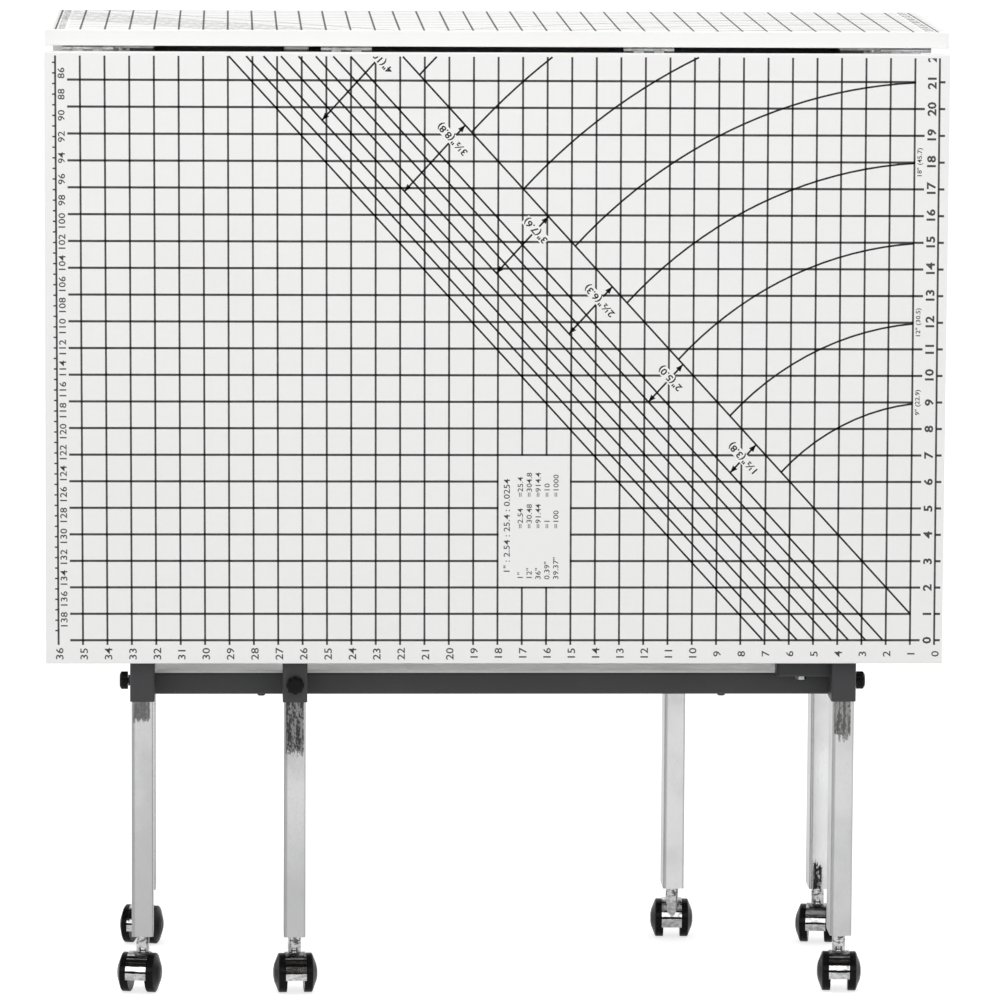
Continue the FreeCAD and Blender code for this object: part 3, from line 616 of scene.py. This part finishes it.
powder.bump(peel, **PEEL_RELIEF)
dress(powder, "front_left_upright", "front_right_upright", "rear_left_upright", "rear_right_upright",
      "front_top_rail", "rear_top_rail", "front_lower_rail", "rear_lower_rail", "side_rails",
      "pivot_brackets", "front_gate_post", "front_gate_rails", "front_gate_upright",
      "rear_gate_post", "rear_gate_rails", "rear_gate_upright")
dress(zinc, "mounting_plates", "frame_screws", "pivot_bolts")

shelf_paint = Finish("pale_shelf_lacquer", Specular_IOR_Level=0.5)
fibre = shelf_paint.noise(60.0, 5.0, (1, 8, 1))
shelf_paint.paint(Base_Color=shelf_paint.mix(fibre.step(0.3, 0.8), LACQUER, LACQUER_FIBRE),
                  Roughness=fibre.step(0.2, 0.8, 0.3, 0.42))
shelf_paint.bump(fibre, strength=0.2, depth=0.1 * MM)
dress(shelf_paint, "shelf_panel")

shelf_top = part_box("shelf_panel")[1].z
bolt_paint = Finish("painted_bolt", Specular_IOR_Level=0.45)
peel = bolt_paint.noise(PEEL_SCALE, 2.0)
above = bolt_paint.axis("Z").step(shelf_top - 2.0 * MM, shelf_top - 1.0 * MM)
bolt_paint.paint(Base_Color=bolt_paint.mix(above, BOLT_DARK, LACQUER_FIBRE),
                 Roughness=peel.step(0.3, 0.7, 0.38, 0.46))
bolt_paint.bump(peel, **PEEL_RELIEF)
dress(bolt_paint, "shelf_bolts")

# Moulded fittings
# Black plastic caps and bushes in the gate pivots, and light grey pads on the gates, on
# which the raised leaves rest.
CAP_BLACK = ((0.012, 0.012, 0.013, 1), (0.024, 0.024, 0.025, 1))
PAD_GREY = ((0.46, 0.46, 0.455, 1), (0.54, 0.54, 0.53, 1))


def moulded(name, specular, scale, colours, roughness, strength, depth):
    """Plastic with a fine moulded grain: two colours and two roughnesses that the grain goes between."""
    made = Finish(name, Specular_IOR_Level=specular)
    grain = made.noise(scale)
    made.paint(Base_Color=made.mix(grain, *colours), Roughness=grain.step(0.2, 0.8, *roughness))
    made.bump(grain, strength, depth)
    return made


black_moulding = moulded("black_moulded_plastic", specular=0.5, scale=500.0, colours=CAP_BLACK,
                         roughness=(0.35, 0.5), strength=0.3, depth=0.1 * MM)
grey_moulding = moulded("grey_moulded_plastic", specular=0.5, scale=400.0, colours=PAD_GREY,
                        roughness=(0.4, 0.55), strength=0.3, depth=0.1 * MM)
dress(black_moulding, "bracket_end_caps", "front_gate_bushes", "rear_gate_bushes")
dress(grey_moulding, "front_gate_pad", "rear_gate_pad")

# Telescopic legs
# Chromed rectangular tube that slides in the uprights. Each leg is drawn, polished and plated, and
# carries painted light: a painted dark reflection by its upright, painted edge shade, sheen and foot shade.
CHROME = (0.70, 0.70, 0.702, 1)
CHROME_HAZE = (0.58, 0.58, 0.582, 1)
# The next three colours are painted sheen, painted shade towards the caster, and painted edge shade that
# random blotches share.
CHROME_PAINTED_SHEEN = (0.92, 0.92, 0.922, 1)
CHROME_FOOT_SHADE = (0.51, 0.51, 0.512, 1)
CHROME_EDGE_SHADE_AND_BLOTCH = (0.36, 0.36, 0.362, 1)
FOOT_LOW = 80 * MM
FOOT_HIGH = 240 * MM
# Softness and patchiness of the painted dark reflection on the legs.
REFLECTION_SOFT_END = 1.5 * MM
REFLECTION_SOFT_SIDE = 0.8 * MM
REFLECTION_PATCHINESS = 14.0
SIDE_WANDER = 2 * MM


def chromed(station, painted_sheen, painted_foot_shade, painted_reflection, height, across, fray):
    """Chrome with polishing haze and painted light: a frayed painted dark reflection, painted sheen and
    shade.

    shine and foot set the painted sheen that brightens the leg and the painted shade that darkens it
    towards the caster. The painted dark reflection has its colour, its two heights from the mouth of the
    uprights and its two sides from the left side of the leg. fray says how far its ends wander.
    """
    low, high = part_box(station + "_leg")
    made = Finish(station + "_leg_chrome", Metallic=1.0)
    streaks = made.noise(60.0, 4.0, (6, 6, 0.6))
    blotch = made.noise(420.0, 3.0, (1.4, 1.4, 0.7))
    haze = made.noise(13.0, 5.0)
    z, x = made.axis("Z"), made.axis("X")
    base = made.mix(haze.step(0.35, 0.68), CHROME, CHROME_HAZE)
    # Painted sheen that brightens some legs.
    base = made.mix(painted_sheen, base, CHROME_PAINTED_SHEEN)
    # Painted shade, darker towards the caster.
    base = made.mix(z.step(FOOT_LOW, FOOT_HIGH, painted_foot_shade, 0.0), base, CHROME_FOOT_SHADE)
    # Painted shade along both edges, darker on the left, with random dark blotches.
    left_edge_shade = x.step(low.x + 2.4 * MM, low.x + 4.0 * MM, 0.8, 0.0)
    right_edge_shade = x.step(high.x - 2.2 * MM, high.x - 1.2 * MM, 0.0, 0.35)
    base = made.mix(left_edge_shade + right_edge_shade + blotch.step(0.5, 0.8, 0.0, 0.2), base, CHROME_EDGE_SHADE_AND_BLOTCH)
    # A frayed painted dark reflection across the leg, at set heights from the mouth of its upright.
    ragged = z + (streaks - 0.5) * fray + (blotch - 0.5) * (fray * 0.6)
    wavy = x + (blotch - 0.5) * SIDE_WANDER
    patchy = (streaks + blotch).step(0.9, 1.15, 1.0, 1.0 - REFLECTION_PATCHINESS * fray)
    dark = (ragged.band(mouth + height[0], mouth + height[1], REFLECTION_SOFT_END)
            * wavy.band(low.x + across[0], low.x + across[1], REFLECTION_SOFT_SIDE) * patchy)
    made.paint(Base_Color=made.mix(dark, base, painted_reflection),
               Roughness=haze.step(0.2, 0.8, 0.12, 0.24) + dark * 0.15)
    made.bump(streaks, strength=0.15, depth=0.04 * MM)
    return made


# The leg of each station: front and rear corners, and the legs of the two gates.
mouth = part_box("front_left_upright")[0].z
# Painted light on each leg: painted sheen, painted shade towards the caster and a painted dark reflection.
leg_painted_light = {
    "front_left": {"painted_sheen": 0.0, "painted_foot_shade": 1.0, "painted_reflection": (0.17, 0.17, 0.168, 1),
                   "height": (-20 * MM, 50 * MM), "across": (1.8 * MM, 18.7 * MM), "fray": 14 * MM},
    "front_gate": {"painted_sheen": 0.0, "painted_foot_shade": 0.9, "painted_reflection": (0.06, 0.06, 0.06, 1),
                   "height": (-52 * MM, 50 * MM), "across": (1.6 * MM, 19.8 * MM), "fray": 30 * MM},
    "front_right": {"painted_sheen": 0.0, "painted_foot_shade": 0.35, "painted_reflection": (0.14, 0.138, 0.128, 1),
                    "height": (-37 * MM, 50 * MM), "across": (1.6 * MM, 18.4 * MM), "fray": 26 * MM},
    "rear_right": {"painted_sheen": 0.7, "painted_foot_shade": 0.0, "painted_reflection": (0.03, 0.03, 0.03, 1),
                   "height": (-300 * MM, -220 * MM), "across": (4.0 * MM, 13.5 * MM), "fray": 45 * MM},
    "rear_left": {"painted_sheen": 0.4, "painted_foot_shade": 0.3, "painted_reflection": (0.25, 0.25, 0.25, 1),
                  "height": (-20 * MM, 50 * MM), "across": (4.0 * MM, 18.0 * MM), "fray": 20 * MM},
    "rear_gate": {"painted_sheen": 0.1, "painted_foot_shade": 0.0, "painted_reflection": (0.35, 0.35, 0.35, 1),
                  "height": (-10 * MM, 50 * MM), "across": (4.0 * MM, 18.0 * MM), "fray": 20 * MM}}
stations = tuple(leg_painted_light)
for station, leg_light in leg_painted_light.items():
    dress(chromed(station, **leg_light), station + "_leg")

# Clamp knobs
# Black lobed knobs moulded over a steel stud, one screwed into the foot of each upright, where it
# clamps the leg.
KNOB_BLACK = ((0.004, 0.004, 0.0045, 1), (0.009, 0.009, 0.0095, 1))
knob_plastic = moulded("black_knob_plastic", specular=0.12, scale=650.0, colours=KNOB_BLACK,
                       roughness=(0.28, 0.42), strength=0.25, depth=0.08 * MM)
for station in stations:
    dress(knob_plastic, station + "_knob")

# Casters
# A chromed stem and hood, pressed into the foot of each leg, with two domed black nylon
# wheels on a steel axle.
STEM_FOOT = 46 * MM
HOOD_BRIGHT = (0.74, 0.74, 0.742, 1)
HOOD_HAZE = (0.55, 0.55, 0.55, 1)
HOOD_DARK_MOTTLE = (0.09, 0.085, 0.08, 1)
WHEEL_BLACK = ((0.003, 0.003, 0.0035, 1), (0.007, 0.007, 0.0075, 1))
caster_chrome = Finish("caster_chrome", Metallic=1.0)
ripple = caster_chrome.noise(90.0, 3.0, (0.5, 1, 1))
dark_mottle = caster_chrome.noise(260.0, 4.0, (0.8, 1, 1.6))
stem = caster_chrome.axis("Z").step(STEM_FOOT - 1 * MM, STEM_FOOT + 3 * MM)
bright = caster_chrome.mix(ripple.step(0.3, 0.7), HOOD_BRIGHT, HOOD_HAZE)
# Dark brownish mottling, denser on the stem than on the hood.
mottled = dark_mottle.step(0.44, 0.6) * (stem * 0.6 + 0.35)
caster_chrome.paint(Base_Color=caster_chrome.mix(mottled, bright, HOOD_DARK_MOTTLE),
                    Roughness=ripple.step(0.2, 0.8, 0.04, 0.1))
caster_chrome.bump(ripple, strength=0.4, depth=0.6 * MM)
wheel_nylon = moulded("black_wheel_nylon", specular=0.1, scale=300.0, colours=WHEEL_BLACK,
                      roughness=(0.16, 0.28), strength=0.2, depth=0.1 * MM)
for station in stations:
    dress(caster_chrome, station + "_caster_body")
    dress(wheel_nylon, station + "_caster_wheels")

# Studio
# A wide pale floor under an even pale world, both white to the camera and to polished metal. Soft
# lamps stand overhead, high in front and behind, one lights the shelf, and a dark cloth hung in
# front shows only in what the metal reflects. The floor keeps the table's shadow.
FLOOR_HALF = 40.0
FLOOR_GREY = (0.6, 0.6, 0.6, 1)
FLOOR_SEEN_GLOW = 0.70
FLOOR_MIRRORED_GLOW = 0.35
WORLD_GREY = (0.6, 0.6, 0.605, 1)
WHITE = (1, 1, 1, 1)
CLOTH_DARK = (0.02, 0.019, 0.018, 1)
CLOTH_WORN = (0.3, 0.29, 0.27, 1)
CLOTH_HALF = 16.0
CLOTH_PROFILE = [(-9.0, 0.01), (-9.0, 9.0), (3.0, 9.0)]
LAMP_AWAY = 7.6
LAMP_HEIGHT = 3.8
SHELF_LAMP_SPREAD = math.radians(30)


def studio_sheet(name, half_width, profile, paint):
    """A sheet that runs along X from minus to plus half its width, with a profile of Y and Z."""
    mesh = bpy.data.meshes.new(name)
    corners = [(x, y, z) for y, z in profile for x in (-half_width, half_width)]
    strips = [(2 * i, 2 * i + 1, 2 * i + 3, 2 * i + 2) for i in range(len(profile) - 1)]
    mesh.from_pydata(corners, [], strips)
    mesh.materials.append(paint.material)
    sheet = bpy.data.objects.new(name, mesh)
    bpy.context.scene.collection.objects.link(sheet)
    return sheet


def ray_kinds(shading):
    """Whether a ray comes from the camera, from a mirror or through glass, each as 0 or 1."""
    return [shading.node("ShaderNodeLightPath", {}, {}, kind)
            for kind in ("Is Camera Ray", "Is Glossy Ray", "Is Transmission Ray")]


paper = Finish("studio_paper", Roughness=0.9, Specular_IOR_Level=0.0, Base_Color=FLOOR_GREY)
seen, mirrored, through = ray_kinds(paper)
paper.paint(Emission_Color=WHITE,
            Emission_Strength=seen * FLOOR_SEEN_GLOW + (mirrored + through) * FLOOR_MIRRORED_GLOW)
studio_sheet("studio_floor", FLOOR_HALF, [(-FLOOR_HALF, 0.0), (FLOOR_HALF, 0.0)], paper)

world = bpy.data.worlds.new("pale_world")
bpy.context.scene.world = world
sky = Shading(world)
seen, mirrored, through = ray_kinds(sky)
even = sky.tree.nodes["Background"]
sky.feed(even.inputs["Color"], WORLD_GREY)
white = sky.node("ShaderNodeBackground", {}, {"Color": WHITE})
shown = sky.node("ShaderNodeMixShader", {},
                 {0: seen + mirrored + through, 1: Signal(sky, even.outputs[0]), 2: white})
sky.feed(sky.tree.nodes["World Output"].inputs["Surface"], shown)

cloth = Finish("dark_flag_cloth", Roughness=0.95, Specular_IOR_Level=0.0)
worn = cloth.noise(0.5, 3.0, (0.35, 1, 1)).step(0.5, 0.72)
cloth.paint(Base_Color=cloth.mix(worn, CLOTH_DARK, CLOTH_WORN))
flag = studio_sheet("dark_flag", CLOTH_HALF, CLOTH_PROFILE, cloth)
flag.visible_camera = flag.visible_diffuse = flag.visible_shadow = flag.visible_transmission = False


def soft_lamp(name, place, target, size, watts):
    """A rectangular area lamp turned to a point."""
    data = bpy.data.lights.new(name, "AREA")
    data.shape = "RECTANGLE"
    data.size, data.size_y = size
    data.energy = watts
    lamp = bpy.data.objects.new(name, data)
    bpy.context.scene.collection.objects.link(lamp)
    lamp.location = place
    lamp.rotation_euler = (Vector(target) - Vector(place)).to_track_quat("-Z", "Y").to_euler()
    return lamp


overhead = soft_lamp("overhead_lamp", (-0.3, -1.0, 3.1), (0, -0.1, 0.85), size=(3.0, 1.6), watts=40.0)
soft_lamp("left_lamp", (-2.6, -LAMP_AWAY, LAMP_HEIGHT), (-2.6, 0, LAMP_HEIGHT),
          size=(6.0, 4.2), watts=156.0)
soft_lamp("right_lamp", (3.0, -LAMP_AWAY, LAMP_HEIGHT), (3.0, 0, LAMP_HEIGHT),
          size=(4.0, 4.2), watts=106.0)
rear_lamp = soft_lamp("rear_lamp", (0, LAMP_AWAY, LAMP_HEIGHT), (0, 0, LAMP_HEIGHT),
                      size=(8.0, 4.2), watts=130.0)
shelf_lamp = soft_lamp("shelf_lamp", (0, -0.095, 0.90), (0, -0.095, 0.3), size=(0.7, 0.08), watts=0.13)
shelf_lamp.data.spread = SHELF_LAMP_SPREAD
shelf_lamp.visible_camera = False
for lamp in (overhead, rear_lamp, shelf_lamp):
    lamp.visible_glossy = False

# Camera
# Far back with a long lens, a little above the table and left of its middle, turned slightly to
# the right and down. The angles are in degrees, the lens and the sensor in millimetres.
CAMERA_PLACE = (-0.2708, -7.1928, 1.423)
CAMERA_RIGHT = 2.246
CAMERA_DOWN = 7.401
CAMERA_ROLL = 0.334
CAMERA_LENS = 252.28
CAMERA_SENSOR = 36.0
CAMERA_REACH = 200.0
camera_data = bpy.data.cameras.new("camera")
camera_data.lens = CAMERA_LENS
camera_data.sensor_width = CAMERA_SENSOR
camera_data.clip_end = CAMERA_REACH
camera = bpy.data.objects.new("camera", camera_data)
bpy.context.scene.collection.objects.link(camera)
turned = Matrix.Rotation(math.radians(-CAMERA_RIGHT), 4, "Z")
tilted = Matrix.Rotation(math.radians(90 - CAMERA_DOWN), 4, "X")
rolled = Matrix.Rotation(math.radians(CAMERA_ROLL), 4, "Z")
camera.matrix_world = Matrix.Translation(CAMERA_PLACE) @ turned @ tilted @ rolled
bpy.context.scene.camera = camera
bpy.context.scene.view_settings.view_transform = "Standard"
